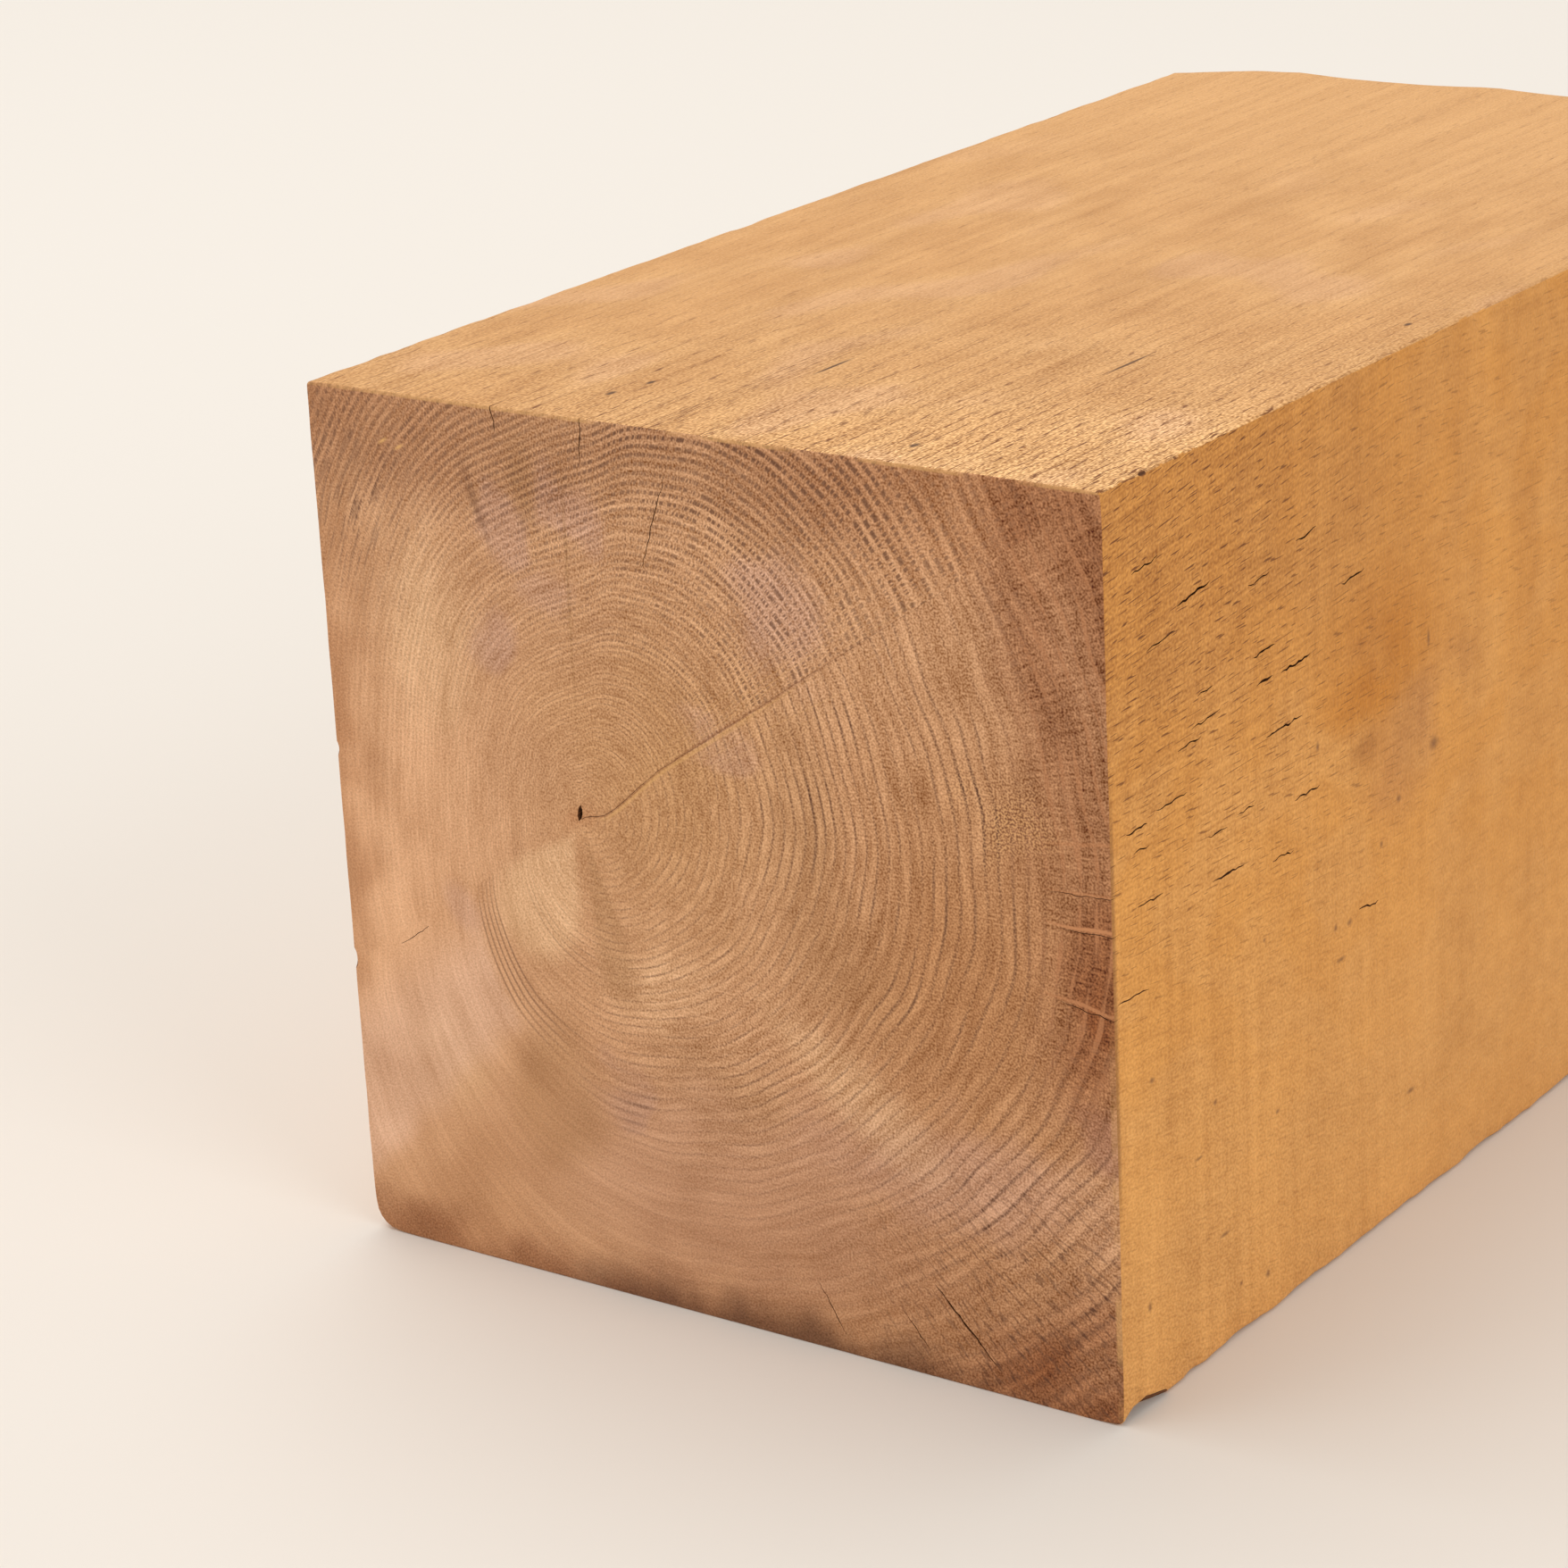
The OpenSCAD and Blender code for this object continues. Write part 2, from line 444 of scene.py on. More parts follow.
class Sheet:
    """A material under construction."""

    def __init__(self, name):
        self.material = bpy.data.materials.new(name)
        self.material.use_nodes = True
        self.tree = self.material.node_tree
        self.tree.nodes.clear()

    def put(self, kind, **settings):
        """Adds a node with its settings."""
        node = self.tree.nodes.new(kind)
        for key, value in settings.items():
            setattr(node, key, value)
        return node

    def feed(self, socket, value):
        """Gives a socket a field to follow, or a constant."""
        if isinstance(value, Field):
            self.tree.links.new(value.socket, socket)
        else:
            socket.default_value = value

    def math(self, operation, *values):
        """One step of arithmetic."""
        node = self.put("ShaderNodeMath", operation=operation)
        for socket, value in zip(node.inputs, values):
            self.feed(socket, value)
        return Field(self, node.outputs[0])

    def place(self):
        """The three coordinates of the surface point, in millimetres."""
        coordinates = self.put("ShaderNodeTexCoord")
        split = self.put("ShaderNodeSeparateXYZ")
        self.tree.links.new(coordinates.outputs["Object"], split.inputs[0])
        return [Field(self, out) / MM for out in split.outputs]

    def joined(self, *place):
        """Coordinates as one place."""
        node = self.put("ShaderNodeCombineXYZ")
        for socket, value in zip(node.inputs, place):
            self.feed(socket, value)
        return Field(self, node.outputs[0])

    def noise(self, *place, detail=0.0):
        """Noise of about 0 to 1 over two or three coordinates, with lumps about one unit across."""
        node = self.put("ShaderNodeTexNoise", noise_dimensions=f"{len(place)}D")
        self.feed(node.inputs["Vector"], self.joined(*place))
        node.inputs["Scale"].default_value = 1
        node.inputs["Detail"].default_value = detail
        return Field(self, node.outputs[0])

    def curve(self, value, points):
        """A curve drawn through points from 0 to 1."""
        node = self.put("ShaderNodeFloatCurve")
        line = node.mapping.curves[0]
        while len(line.points) < len(points):
            line.points.new(0.5, 0.5)
        for point, place in zip(line.points, points):
            point.location = place
        node.mapping.update()
        self.feed(node.inputs["Value"], value)
        return Field(self, node.outputs[0])

    def fold(self, value):
        """0 halfway between whole numbers, 1 on them."""
        return 2 * self.math("ABSOLUTE", self.math("FRACT", value) - 0.5)

    def spot(self, place, centre, size, share=1, core=0):
        """An oval patch about a centre: the share inside its core, falling to 0 at its half size."""
        node = self.put("ShaderNodeMapping")
        self.feed(node.inputs["Vector"], place)
        node.inputs["Scale"].default_value = (1 / size[0], 1 / size[1], 1)
        node.inputs["Location"].default_value = (-centre[0] / size[0], -centre[1] / size[1], 0)
        length = self.put("ShaderNodeVectorMath", operation="LENGTH")
        self.tree.links.new(node.outputs[0], length.inputs[0])
        return Field(self, length.outputs["Value"]).step(1, core, share)

    def largest(self, *values):
        """The largest of some fields, point by point."""
        total = values[0]
        for value in values[1:]:
            total = self.math("MAXIMUM", total, value)
        return total

    def blend(self, share, under, over):
        """Lays one colour over another by a share. A mix of colours uses the sockets numbered here."""
        node = self.put("ShaderNodeMix", data_type="RGBA", clamp_factor=True)
        self.feed(node.inputs[0], share)
        self.feed(node.inputs[6], under)
        self.feed(node.inputs[7], over)
        return Field(self, node.outputs[2])

    def shaded(self, colour, tone):
        """A colour made lighter by a tone above 0, or darker and redder by one below it."""
        swing = self.put("ShaderNodeVectorMath", operation="SCALE")
        swing.inputs[0].default_value = TONE_SWING
        self.feed(swing.inputs["Scale"], tone)
        node = self.put("ShaderNodeVectorMath", operation="MULTIPLY_ADD")
        self.tree.links.new(swing.outputs[0], node.inputs[0])
        self.feed(node.inputs[1], colour)
        self.feed(node.inputs[2], colour)
        return Field(self, node.outputs[0])

    def finish(self, colour, roughness, height, relief):
        """Ends the material: colour, roughness and a relief of the given height in millimetres."""
        bump = self.put("ShaderNodeBump")
        bump.inputs["Distance"].default_value = relief * MM
        self.feed(bump.inputs["Height"], height)
        shader = self.put("ShaderNodeBsdfPrincipled")
        shader.inputs["Specular IOR Level"].default_value = 0.25
        self.feed(shader.inputs["Base Color"], colour)
        self.feed(shader.inputs["Roughness"], roughness)
        self.tree.links.new(bump.outputs[0], shader.inputs["Normal"])
        out = self.put("ShaderNodeOutputMaterial")
        self.tree.links.new(shader.outputs[0], out.inputs[0])
        return self.material


def paint(red, green, blue):
    """A colour given as a screen shows it, 0 to 255, as the linear light that shaders use."""
    def linear(c):
        c /= 255
        return c / 12.92 if c <= 0.04045 else ((c + 0.055) / 1.055) ** 2.4
    return (linear(red), linear(green), linear(blue), 1)


# Growth rings: the heart check parts the section in two halves whose rings differ.
# Each outline gives the rings' reach, as a share of the furthest, over its half turn from the heart check.
UPPER_RINGS = {
    "outline": [
        (0, 0.97), (0.13, 1), (0.22, 0.94), (0.30, 0.82),
        (0.47, 0.70), (0.63, 0.58), (0.8, 0.53), (1, 0.63),
    ],
    "spread": 25,
}
LOWER_RINGS = {
    "outline": [
        (0, 0.37), (0.13, 0.49), (0.30, 0.63), (0.47, 0.71),
        (0.63, 0.79), (0.80, 0.89), (0.88, 0.94), (1, 1),
    ],
    "spread": 67,
}
RING_COUNT = 64
# Outer rings of the lower half draw in a little towards the heart check.
OUTER_DROP = 0.12


class Rings:
    """Growth rings and rays about the pith, as fields over any surface of the post."""

    def __init__(self, sheet, x, z):
        self.sheet = sheet
        u = x - PITH_X
        v = z - PITH_Z
        self.radius = sheet.math("SQRT", u * u + v * v) + 0.01
        angle = sheet.math("ARCTAN2", v, u)
        slope = math.radians(HEART_SLOPE)
        self.turn = sheet.math("FRACT", (angle - slope) / math.tau + 1)
        self.upper = sheet.math("LESS_THAN", self.turn, 0.5)
        high = sheet.curve(2 * self.turn, UPPER_RINGS["outline"]) * UPPER_RINGS["spread"]
        low = sheet.curve(2 * self.turn - 1, LOWER_RINGS["outline"]) * LOWER_RINGS["spread"]
        low = low * (1 - self.turn.step(0.84, 1, OUTER_DROP) * self.radius.step(20, 50))
        reach = low + (high - low) * self.upper
        age = RING_COUNT * sheet.math("LOGARITHM", 1 + self.radius / reach, math.e)
        self.age = age + 0.8 * (sheet.noise(x / 9, z / 9) - 0.5)
        # Distances along the heart check and across it
        self.out = u * math.cos(slope) + v * math.sin(slope)
        self.off = v * math.cos(slope) - u * math.sin(slope)
        self.off = self.off + self.out.step(0, SAG_DEEPEST, HEART_SAG) * self.out.step(SAG_END, SAG_DEEPEST)

    def bands(self, width, stretches):
        """Noise in bands along the rings: how many rings wide, and how many stretches to a turn."""
        return self.sheet.noise(self.age / width, self.turn * stretches) - 0.5

    def rays(self, count, length):
        """Streaks of a length that run out from the pith, so many to a turn."""
        return self.sheet.noise(self.turn * count, self.radius / length + self.turn * 0.16 * count) - 0.5


TAN, GOLD, OLIVE, GREY = (203, 152, 110), (191, 140, 90), (168, 122, 78), (160, 112, 90)
PEACH, CREAM, PINK, MAUVE = (224, 171, 128), (229, 184, 139), (223, 178, 147), (196, 151, 129)
BROWN, RUST, EDGE_BROWN = (178, 123, 77), (181, 121, 77), (136, 78, 40)
DARK_BROWN, VESSEL, PALE_AND_HIGHLIGHT, SEAM = (92, 56, 36), (96, 58, 38), (226, 174, 110), (204, 140, 94)
# Patches of colour on the sawn end: colour, share, middle (across, up), half size and firm core
END_PATCHES = [
    # The first peach patch makes the left side of the end lighter: partly the wood's own colour, partly
    # painted light where a lamp at the front left falls.
    (PEACH, 0.85, (9, 46), (20, 46), 0),
    (CREAM, 0.6, (14, 74), (10, 18), 0),
    (CREAM, 0.35, (43, 38), (12, 9), 0),
    (GOLD, 0.7, (46, 62), (26, 28), 0),
    (OLIVE, 0.4, (64, 58), (7, 22), 0),
    (OLIVE, 0.45, (70, 44), (15, 12), 0),
    (BROWN, 0.85, (84, 46), (32, 46), 0),
    (BROWN, 0.45, (66, 8), (46, 22), 0),
    (OLIVE, 0.35, (50, 28), (14, 8), 0),
    (MAUVE, 0.5, (25.8, 87), (4.5, 5), 0.4),
    (MAUVE, 0.5, (34, 90), (5.5, 5), 0.4),
    (MAUVE, 0.5, (23, 74.5), (5, 5), 0.4),
    (MAUVE, 0.35, (31, 80.5), (5.5, 4), 0.3),
    (MAUVE, 0.5, (61, 82), (8, 9), 0.3),
    (MAUVE, 0.35, (53, 67), (6, 4), 0.3),
    (MAUVE, 0.4, (38, 24), (5, 5), 0.4),
    (MAUVE, 0.4, (80, 24), (26, 9), 0.2),
    (RUST, 0.28, (6, 99), (32, 12), 0),
    (RUST, 0.5, (0, 58), (6, 60), 0),
    (RUST, 0.2, (14, 0), (30, 10), 0),
    (RUST, 0.55, (84, 100), (40, 20), 0),
    (RUST, 0.5, (34, 55.5), (4, 4), 0),
    (GREY, 0.6, (99, 31.5), (6, 5), 0.3),
    (CREAM, 0.4, (13, 24), (10, 10), 0),
    (PEACH, 0.25, (12, 88), (18, 16), 0),
    (MAUVE, 0.18, (50, 14), (38, 16), 0.3),
    (GREY, 0.16, (52, 18), (36, 20), 0.3),
]
# Wedges of colour about the pith, as the patches: middle (degrees from the heart check, radius)
END_WEDGES = [
    (CREAM, 0.6, (205, 11), (31, 10), 0.6),
    (OLIVE, 0.4, (248, 12), (12, 12), 0.5),
    (OLIVE, 0.45, (226, 34), (14, 12), 0.4),
    (MAUVE, 0.4, (183, 22), (12, 3), 0.3),
    (DARK_BROWN, 0.45, (75, 35.5), (1.6, 8), 0),
    (OLIVE, 0.5, (64, 37), (4, 8), 0.2),
    (CREAM, 0.35, (290, 42), (7, 18), 0.3),
    (OLIVE, 0.45, (55.5, 24), (0.8, 22), 0.2),
]
# Rings that show strongest: first and last of a group, middle (across, up), half size and share
DARK_RINGS = [
    (20, 22, (23, 36), (14, 14), 0.45),
    (31, 35, (23, 38), (15, 18), 0.45),
    (25.8, 26.2, (64, 60), (6, 11), 0.28),
]
# Checks with pale lips at the right: degrees from the heart check, and share of colour
PALE_CHECKS = [(317.4, 0.7), (325, 0.9), (328.6, 0.5), (333.2, 0.45)]
# Pale scratches at the upper left: degrees from the heart check, and radius
SCRATCHES = [(87.2, 45.7), (85.2, 44.2)]


def sawn_end():
    """End grain: rings of dark vessels, rays, mauve and golden patches and darker edges."""
    sheet = Sheet("sawn_end")
    x, _, z = sheet.place()
    rings = Rings(sheet, x, z)
    across = x - LEFT
    blot = sheet.noise(x / 8 + 60, z / 8, detail=1) - 0.5
    spread = sheet.joined(across + 9 * blot, z - 9 * blot)
    polar = sheet.joined(360 * rings.turn + 1.2 * blot, rings.radius)
    grit = sheet.noise(x / 0.24, z / 0.24) - 0.5
    rays = rings.rays(950, 3)
    strokes = rings.bands(0.5, 60)
    years = rings.bands(1, 24)
    groups = rings.bands(4, 10)
    line = sheet.fold(rings.age)
    # Crisp to the right and top, soft to the left and at the foot
    clear_patch = sheet.spot(spread, (48, 32), (34, 18), 16)
    sharp = 0.15 + 0.85 * (0.6 * across + 0.5 * z + clear_patch).step(20, 80)
    colour = paint(*TAN)
    for place, patches in ((spread, END_PATCHES), (polar, END_WEDGES)):
        for tint, share, centre, size, core in patches:
            colour = sheet.blend(sheet.spot(place, centre, size, share, core), colour, paint(*tint))
    # Pale corner to the lower left, with firm borders along a ring and a slant
    slant = z - across + 4 * blot
    below = slant.step(6, -4, 0.28) * slant.step(-24, -10) * across.step(45, 20)
    colour = sheet.blend(below, colour, paint(*BROWN))
    pale = slant.step(4, 10, 0.6) * rings.age.step(34.5, 37) * rings.off.step(0, -9)
    colour = sheet.blend(pale, colour, paint(*PINK))
    # Darker wood outside, which follows the rings, and the end darker towards the foot
    slanted = across + 4 * blot + 0.15 * sheet.math("MAXIMUM", z - 55, 0)
    firm = sheet.spot(sheet.joined(across + 3 * blot, z), (102, 50), (11, 12.5), 0.95, 0.6)
    right = sheet.largest(slanted.step(87, 98, 0.74) * z.step(26, 42), firm)
    top = rings.age.step(58, 68, 0.32) * z.step(84, 93) * rings.upper * rings.off.step(3, 16)
    foot = (z + 8 * blot).step(7, -1, 0.62)
    corner = sheet.spot(spread, (102, 0), (44, 26), 0.95)
    upper_corner = sheet.spot(spread, (103, 94), (24, 22), 0.65)
    upper_corner = sheet.largest(upper_corner, sheet.spot(spread, (101, 82), (10, 20), 0.7))
    edge = sheet.largest(right, top, foot, corner, upper_corner) * (0.85 + groups)
    colour = sheet.blend(edge, colour, paint(*EDGE_BROWN))
    # Darker towards the foot at the bottom middle, below a ragged border
    ragged_height = z - 9 * sheet.noise(x / 7 + 9, z / 20, detail=2)
    dark_foot = ragged_height.step(1.5, -5.5) * sheet.spot(spread, (54, 0), (34, 9), 0.75, 0.4)
    colour = sheet.blend(dark_foot, colour, paint(*DARK_BROWN))
    # Fine grain, strokes along the rings and rays across them
    tone = 0.06 - (0.25 + sharp + 0.7 * edge) * grit
    tone = tone + (0.06 + 0.54 * sharp + 0.5 * corner) * strokes
    tone = tone + 0.32 * groups + (0.14 + 0.28 * sharp) * years + 0.5 * (1 - sharp) * blot
    tone = tone + sharp * (0.25 + 1.1 * edge) * rays
    colour = sheet.shaded(colour, tone)
    # Vessels crowd into the rings: thin lines, or rows of dots where the rays part them
    woven = sheet.largest(rings.upper * rings.radius.step(8, 30), edge)
    dots = line.step(0.2, 0.8) * rays.step(-0.08, 0.08) * (0.75 + groups)
    lines = line.step(0.6, 0.95) * (0.42 + 1.2 * years + 0.8 * groups + 0.9 * strokes + 0.9 * grit)
    # Single dark rings, rows of vessels near the top and the foot, dashes and ticks
    arcs = 0
    for first, last, centre, size, share in DARK_RINGS:
        group = rings.age.step(first - 1, first) * rings.age.step(last + 1, last)
        arcs = group * sheet.spot(spread, centre, size, share, 0.1) * line.step(0.4, 0.9) + arcs
    rows = sheet.largest(1.4 * top, sheet.spot(spread, (38, 24), (6, 5), 0.7))
    rows = rows * line.step(0.3, 0.8) * (0.8 + 1.5 * years)
    dashes = strokes.step(0.04, 0.2) * sheet.spot(spread, (5, 88), (16, 18))
    ticks = rings.rays(1100, 2).step(0.06, 0.25) * sheet.spot(spread, (92, 8), (32, 28), 1, 0.3)
    torn = sheet.spot(spread, (88, 64), (8, 7))
    mark = 0.7 * sharp * (lines + (dots - lines) * woven) + arcs + 0.45 * sheet.largest(rows, dashes, ticks)
    mark = mark * (1 - 0.5 * right) + 0.4 * torn * grit.step(0.04, 0.18)
    colour = sheet.blend(mark, colour, paint(*VESSEL))
    # Pale seams between the dark bands at the right, and along the checks there
    lips = [sheet.spot(polar, (turn, 63.5), (0.3, 7), share, 0.3) for turn, share in PALE_CHECKS]
    seams = sheet.largest(*lips, 0.55 * right * (line + 0.8 * strokes).step(0.72, 1))
    colour = sheet.blend(seams, colour, paint(*SEAM))
    # The heart check's brown line, which is painted shade along the crack, with pale hairs beside it
    off = rings.off + 0.5 * blot
    heart = off.step(-0.3, 0) * off.step(0.3, 0) * rings.out.step(58, 25, 0.45) * rings.out.step(0, 3)
    colour = sheet.blend(heart, colour, paint(*EDGE_BROWN))
    beside = sheet.fold(rings.turn).step(0.93, 1) * rings.radius.step(60, 30)
    hairs = sheet.noise(1500 * rings.turn, rings.radius / 40).step(0.68, 0.8) * beside
    # Painted highlight along the lower side of the heart check
    lip = rings.off.step(-0.7, -0.4) * rings.off.step(-0.1, -0.3)
    lip = lip * rings.out.step(40, 15) * rings.out.step(1, 5)
    # Specks where the saw tore the grain, scratches, and painted highlights along the bright arrises and the
    # heart check's lower lip
    specks = torn * grit.step(-0.04, -0.18)
    scratches = sheet.largest(*(sheet.spot(polar, place, (1.2, 0.3), 2) for place in SCRATCHES))
    # Painted highlight along the top arris and the lower part of the right arris
    rim = across.step(WIDTH - 0.8, WIDTH - 0.5) * z.step(50, 20)
    rim = sheet.largest(z.step(TOP - 0.5, TOP - 0.3), rim) * (0.5 + blot).step(0.3, 0.6)
    colour = sheet.blend(0.5 * sheet.largest(hairs, lip, specks, scratches, rim), colour, paint(*PALE_AND_HIGHLIGHT))
    return sheet.finish(colour, 0.68, grit, 0.08)


def rough_end():
    """End grain torn by the saw: the same rings, furred over, with upright saw marks."""
    sheet = Sheet("rough_end")
    x, _, z = sheet.place()
    rings = Rings(sheet, x, z)
    fur = sheet.noise(x / 0.5, z / 0.8, detail=2) - 0.5
    marks = sheet.noise(x / 1.1, z / 60, detail=1) - 0.5
    dark = sheet.fold(rings.age).step(0.45, 0.95) * (0.6 + 1.8 * rings.bands(1, 30) + fur)
    colour = sheet.blend(sheet.noise(x / 18, z / 18).step(0.38, 0.62), paint(*TAN), paint(*GOLD))
    colour = sheet.shaded(colour, 0.7 * fur + 0.6 * marks + 0.5 * rings.bands(4, 10) - 0.02)
    colour = sheet.blend(0.4 * dark, colour, paint(*VESSEL))
    return sheet.finish(colour, 0.75, fur + marks, 0.4)


# Small dark marks on the upper face: middle (from the left, along) and half size
TOP_MARKS = [
    ((33.9, 9.8), (0.5, 1.2)), ((35.1, 15.2), (0.5, 1.1)), ((74.5, 6.3), (0.6, 1.1)),
    ((49.1, 29), (0.35, 5)), ((77.3, 43), (0.3, 6)), ((96, 70), (0.5, 1)),
]
# Small dark marks on the right face: middle (from the sawn end, up) and half size
SIDE_MARKS = [
    ((67, 66), (0.5, 1.6)), ((60, 49.6), (0.8, 0.7)), ((56, 45.6), (0.6, 0.6)),
    ((45.6, 39.4), (0.6, 0.6)), ((30.2, 43.4), (0.4, 0.4)), ((7, 36.2), (0.8, 0.5)),
    ((5.6, 11.4), (0.6, 0.9)), ((30, 5), (0.8, 0.8)), ((48.7, 39), (0.9, 0.6)),
    ((42, 61.2), (0.6, 0.9)), ((19.5, 29), (0.6, 0.5)), ((32.5, 23), (0.7, 0.4)),
    ((21, 13.3), (1.6, 0.4)), ((24.3, 6.2), (0.5, 0.5)), ((62.6, 14), (1.4, 0.5)),
    ((46.7, 35.4), (1.5, 0.4)), ((16, 24), (1.3, 0.3)), ((68.2, 53.5), (1.6, 1.2)),
]


def top_grain():
    """Sawn upper face: pale wood with thin dark pores in rows along the grain."""
    sheet = Sheet("top_grain")
    x, y, z = sheet.place()
    across, along = x - LEFT, y - SAWN
    mottle = sheet.noise(x / 6, y / 12, detail=1) - 0.5
    rings = Rings(sheet, x + 3 * mottle, z)
    # Crisp at the front right, softer away from it
    depth = along - 0.6 * across
    sharp = 0.35 + 0.65 * depth.step(50, -10) + 1.2 * depth.step(-4, -45)
    fibre = sheet.noise(x / 0.4, y / 16) - 0.5
    grit = sheet.noise(x / 0.24, y / 0.5) - 0.5
    streak = sheet.noise(x / 2.2 + 20, y / 45) - 0.5
    saw = sheet.noise(x / 25, y / 1.1) - 0.5
    tint = sheet.noise(x / 12 + 40, y / 22)
    rows = 0.2 + sheet.fold(rings.age).step(0.5, 0.95, 0.8)
    pores = sheet.noise(x / 0.17, y / 2.2 + 0.7 * x) + 0.03 * sharp + 0.1 * mottle
    pores = pores.step(0.59, 0.72) * rows
    lines = sheet.noise(x / 0.28, y / 6 + 0.4 * x).step(0.62, 0.76) * rows
    lines = lines * (0.35 + along.step(70, 5, 0.65))
    near = along.step(160, 80)
    colour = sheet.blend(tint.step(0.35, 0.7, 0.5) * near, paint(222, 170, 112), paint(215, 160, 101))
    colour = sheet.blend(tint.step(0.42, 0.24, 0.5) * near, colour, paint(225, 175, 130))
    tone = (0.75 * grit + 0.3 * fibre + 0.07 * saw) * sharp + 0.16 * streak - depth.step(-42, -12, 0.14)
    tone = tone + (0.3 - along.step(115, 165, 0.24)) * mottle + along.step(110, 170, 0.05)
    tone = tone + 0.01 + sharp.step(1.1, 2, 0.04)
    colour = sheet.shaded(colour, tone)
    colour = sheet.blend(0.5 * pores * (0.2 + sharp) + 0.45 * lines, colour, paint(128, 78, 38))
    face = sheet.joined(across, along)
    spots = sheet.largest(*(sheet.spot(face, *mark, 0.85, 0.3) for mark in TOP_MARKS))
    colour = sheet.blend(spots, colour, paint(70, 44, 30))
    return sheet.finish(colour, 0.68, grit, 0.1)


def side_grain():
    """Sawn sides: warm wood, faint upright saw bands, thin pores along the grain and a smoky knot."""
    sheet = Sheet("side_grain")
    x, y, z = sheet.place()
    along = y - SAWN
    flow = (z - 60) / (1 + 0.0044 * sheet.math("MINIMUM", along, 60)) - x
    sharp = 0.45 + 0.55 * along.step(90, 15) + 0.5 * z.step(60, 90) * along.step(60, 10)
    fibre = sheet.noise(y / 10 + flow, flow / 0.4) - 0.5
    grit = sheet.noise(y / 0.4, flow / 0.3) - 0.5
    bands = sheet.noise(y / 8 + 40, flow / 60, detail=2) - 0.5
    mottle = sheet.noise(y / 14 + 60, flow / 9, detail=1) - 0.5
    pores = sheet.noise(y / 2.6 + 1.3 * flow, flow / 0.2).step(0.7, 0.84)
    saw = sheet.noise(y / 1.4, flow / 30) - 0.5
    speckle = sheet.noise(y / 2.4, flow / 1.3) - 0.5
    colour = sheet.blend((0.5 + mottle).step(0.4, 0.6), paint(217, 155, 84), paint(211, 147, 74))
    colour = sheet.blend(z.step(50, 15, 0.5), colour, paint(220, 163, 98))
    shade = z.step(54, 86, 0.65) * along.step(120, 20)
    colour = sheet.blend(shade, colour, paint(184, 121, 55))
    # The knot with its smudge and core, on the right face only
    place = sheet.joined(along + 20 * mottle, z + 14 * mottle)
    right = x.step(RIGHT - 3, RIGHT - 1)
    colour = sheet.blend(right * sheet.spot(place, (58, 67), (19, 15), 0.6), colour, paint(180, 106, 10))
    colour = sheet.blend(right * sheet.spot(place, (62, 55), (14, 9), 0.5), colour, paint(178, 120, 72))
    face = sheet.joined(along, z)
    colour = sheet.blend(right * sheet.spot(face, (52.5, 57.8), (5.5, 3), 0.5), colour, paint(150, 88, 34))
    tone = (0.5 * grit + (0.12 + z.step(20, 80, 0.26)) * fibre) * sharp + 0.3 * mottle
    tone = tone + (0.22 + z.step(50, 80, 0.25) * along.step(50, 90)) * bands
    tone = tone + (0.06 + along.step(75, 25, 0.14)) * saw + 0.16 * speckle + 0.02
    tone = tone - along.step(60, 95, 0.04) * z.step(20, 40)
    colour = sheet.shaded(colour, tone)
    colour = sheet.blend(0.75 * pores * (0.25 + 0.75 * z.step(34, 64)) * sharp, colour, paint(122, 72, 32))
    spots = sheet.largest(*(sheet.spot(face, *mark, 0.65) for mark in SIDE_MARKS))
    arris = along.step(1, 0.3, 0.5) * z.step(20, 30) * z.step(75, 60)
    colour = sheet.blend(sheet.largest(spots, arris) * right, colour, paint(104, 66, 46))
    return sheet.finish(colour, 0.68, grit, 0.08)


def check_wall():
    """Dark walls inside the checks and chips: shade painted into the cracks and hollows."""
    sheet = Sheet("check_wall")
    x, y, z = sheet.place()
    fibre = sheet.noise(x / 0.3, y / 3, z / 0.3, detail=2)
    colour = sheet.blend(fibre.step(0.35, 0.65), paint(84, 50, 28), paint(140, 90, 52))
    return sheet.finish(colour, 0.85, fibre, 0.1)


def cut_out(skin, cutter_mesh, name):
    """Cuts a closed mesh out of the skin and applies the cut."""
    mesh = bpy.data.meshes.new(name)
    cutter_mesh.to_mesh(mesh)
    cutter_mesh.free()
    for material in skin.data.materials:
        mesh.materials.append(material)
    for polygon in mesh.polygons:
        polygon.material_index = len(mesh.materials) - 1
    cutter = bpy.data.objects.new(name, mesh)
    bpy.context.scene.collection.objects.link(cutter)
    cut = skin.modifiers.new(name, "BOOLEAN")
    cut.operation = "DIFFERENCE"
    cut.solver = "MANIFOLD"
    cut.object = cutter
    bpy.context.view_layer.update()
    done = bpy.data.meshes.new_from_object(skin.evaluated_get(bpy.context.evaluated_depsgraph_get()))
    skin.modifiers.clear()
    skin.data = done
    bpy.data.objects.remove(cutter)


def build_post():
    """The finished post in place of its solid."""
    materials = {make.__name__: make() for make in (sawn_end, rough_end, top_grain, side_grain, check_wall)}
    bm = build_skin(list(materials))
    mesh = bpy.data.meshes.new("oak_post")
    bm.to_mesh(mesh)
    bm.free()
    for material in materials.values():
        mesh.materials.append(material)
    post = bpy.data.objects.new("oak_post", mesh)
    bpy.context.scene.collection.objects.link(post)
    cut_out(post, build_chips(), "chips")
    cut_out(post, build_checks(), "checks")
    post.data.set_sharp_from_angle(angle=math.radians(SHARP_ANGLE))
    return post


post = build_post()
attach(post, "root")
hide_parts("post")

# Studio: a plain pale floor, soft lights and the camera of the photograph, in metres

FLOOR_SIDE = 6.0
LAMP_AIM = Vector((0, 0, 0.05))
CAMERA_PLACE = Vector((0.2740, -0.4569, 0.2220))
CAMERA_AIM = Vector((0.0109, -0.0955, 0.0639))
CAMERA_ROLL = -2.9
LENS = 105.8
SENSOR = 36


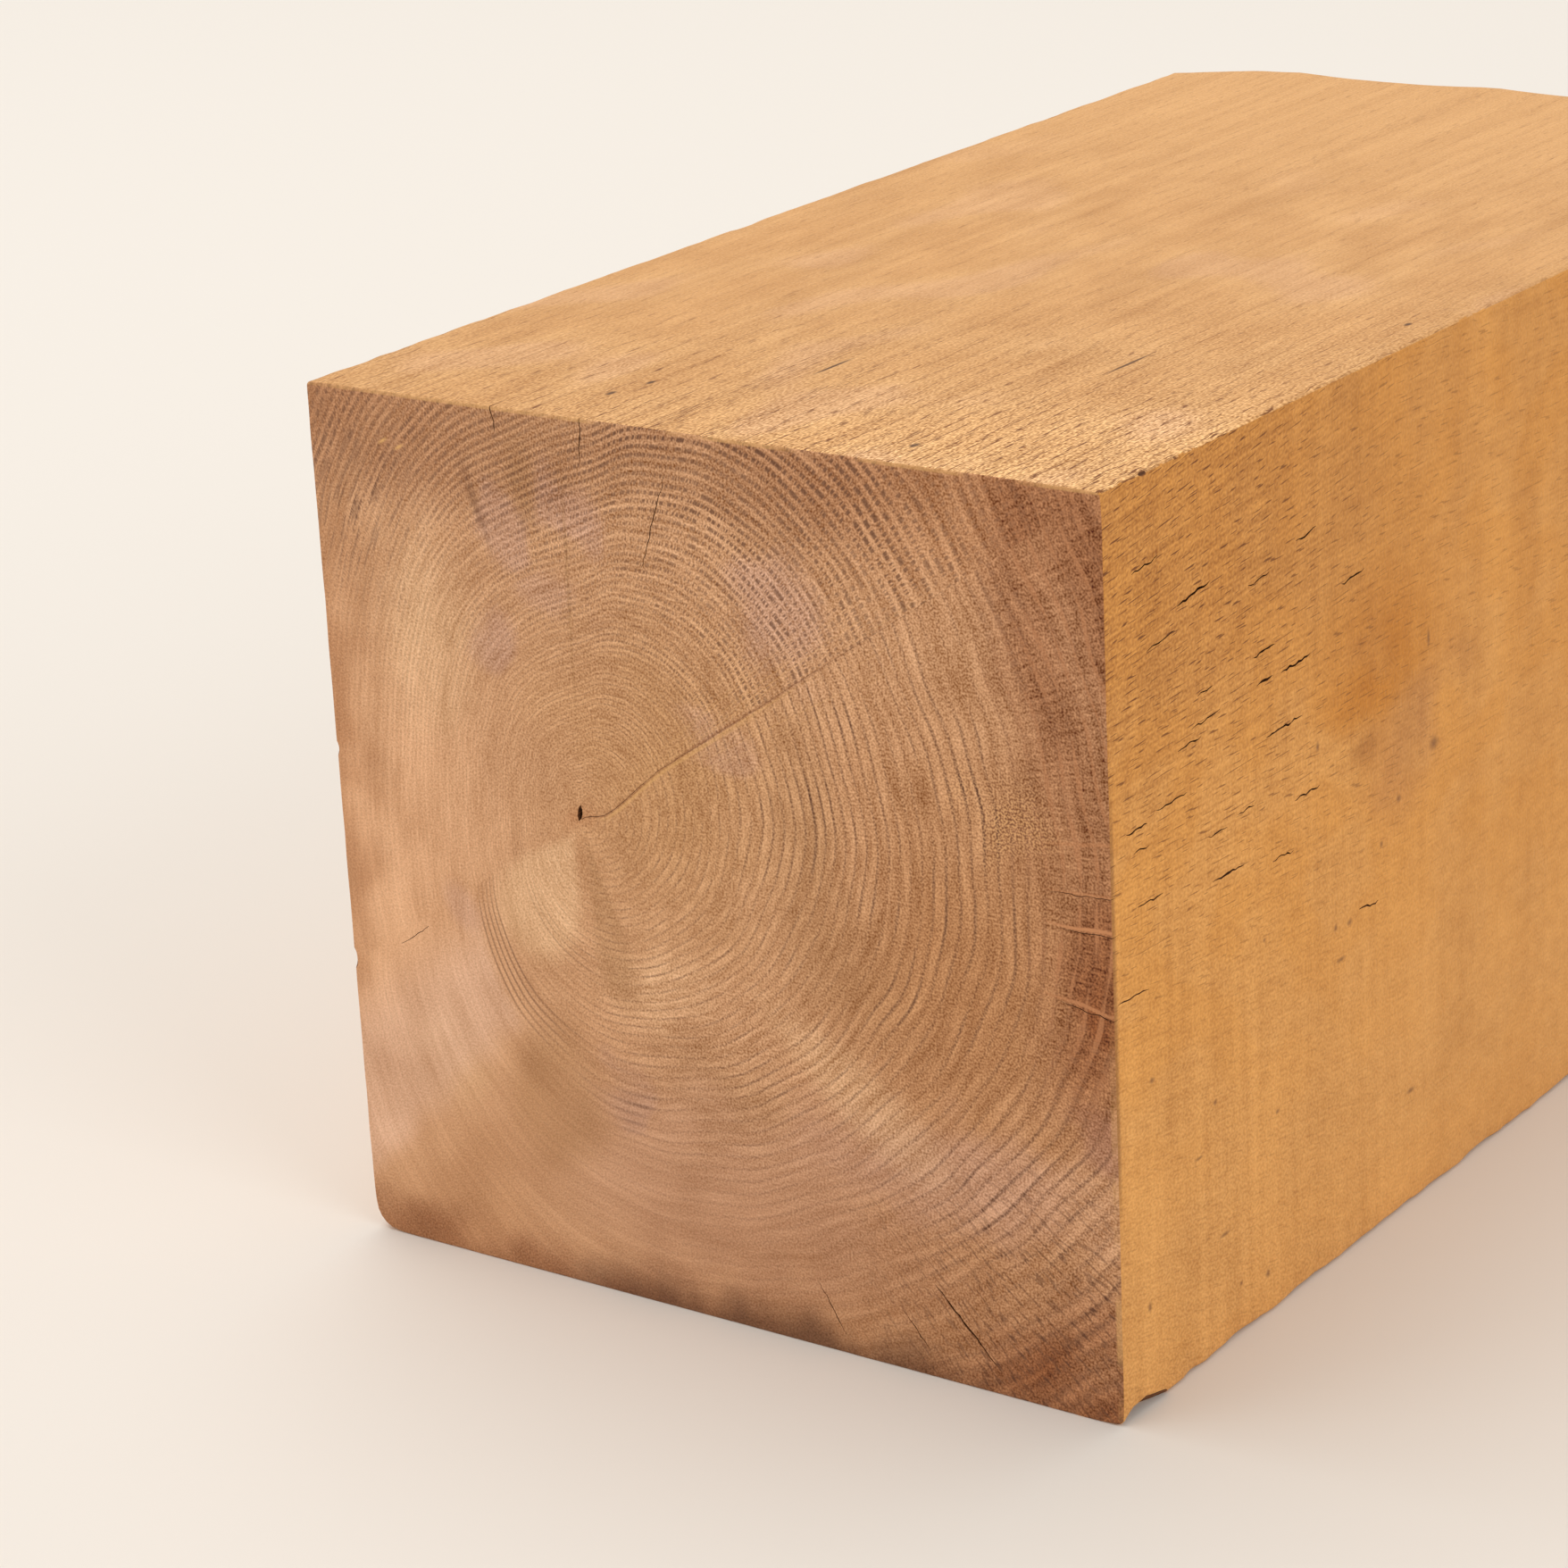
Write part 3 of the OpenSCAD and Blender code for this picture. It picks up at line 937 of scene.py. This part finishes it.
def build_floor():
    """A plain floor, wide enough to fill the picture."""
    mesh = bpy.data.meshes.new("floor")
    half = FLOOR_SIDE / 2
    corners = [(-half, -half, 0), (half, -half, 0), (half, half, 0), (-half, half, 0)]
    mesh.from_pydata(corners, [], [(0, 1, 2, 3)])
    sheet = Sheet("pale_floor")
    shader = sheet.put("ShaderNodeBsdfPrincipled")
    shader.inputs["Base Color"].default_value = paint(229, 223, 215)
    shader.inputs["Roughness"].default_value = 0.9
    out = sheet.put("ShaderNodeOutputMaterial")
    sheet.tree.links.new(shader.outputs[0], out.inputs[0])
    mesh.materials.append(sheet.material)
    floor = bpy.data.objects.new("floor", mesh)
    bpy.context.scene.collection.objects.link(floor)
    return floor


def add_lamp(name, place, side, watts):
    """A square soft light that faces the post and that the camera doesn't see."""
    data = bpy.data.lights.new(name, "AREA")
    data.size = side
    data.energy = watts
    lamp = bpy.data.objects.new(name, data)
    lamp.location = place
    lamp.rotation_euler = (LAMP_AIM - Vector(place)).to_track_quat("-Z", "Y").to_euler()
    lamp.visible_camera = False
    bpy.context.scene.collection.objects.link(lamp)


def add_camera():
    """The camera looks at a point of the sawn end, with a slight roll."""
    data = bpy.data.cameras.new("camera")
    data.sensor_width = SENSOR
    data.lens = LENS
    data.clip_start = 0.01
    camera = bpy.data.objects.new("camera", data)
    roll = Euler((0, 0, math.radians(CAMERA_ROLL))).to_quaternion()
    turn = (CAMERA_AIM - CAMERA_PLACE).to_track_quat("-Z", "Y") @ roll
    camera.matrix_world = Matrix.Translation(CAMERA_PLACE) @ turn.to_matrix().to_4x4()
    bpy.context.scene.collection.objects.link(camera)
    bpy.context.scene.camera = camera


floor = build_floor()
world = bpy.data.worlds.new("studio")
bpy.context.scene.world = world
world.use_nodes = True
sky = world.node_tree.nodes["Background"]
sky.inputs["Color"].default_value = (1, 0.97, 0.93, 1)
sky.inputs["Strength"].default_value = 0.68
add_lamp("overhead", (-0.7, 0.3, 1.9), 2.0, 22)
add_lamp("front_left", (-1.1, -1.3, 0.5), 1.0, 4)
add_lamp("right", (1.5, -0.4, 0.9), 1.0, 7)
bpy.context.scene.view_settings.view_transform = "Standard"
add_camera()
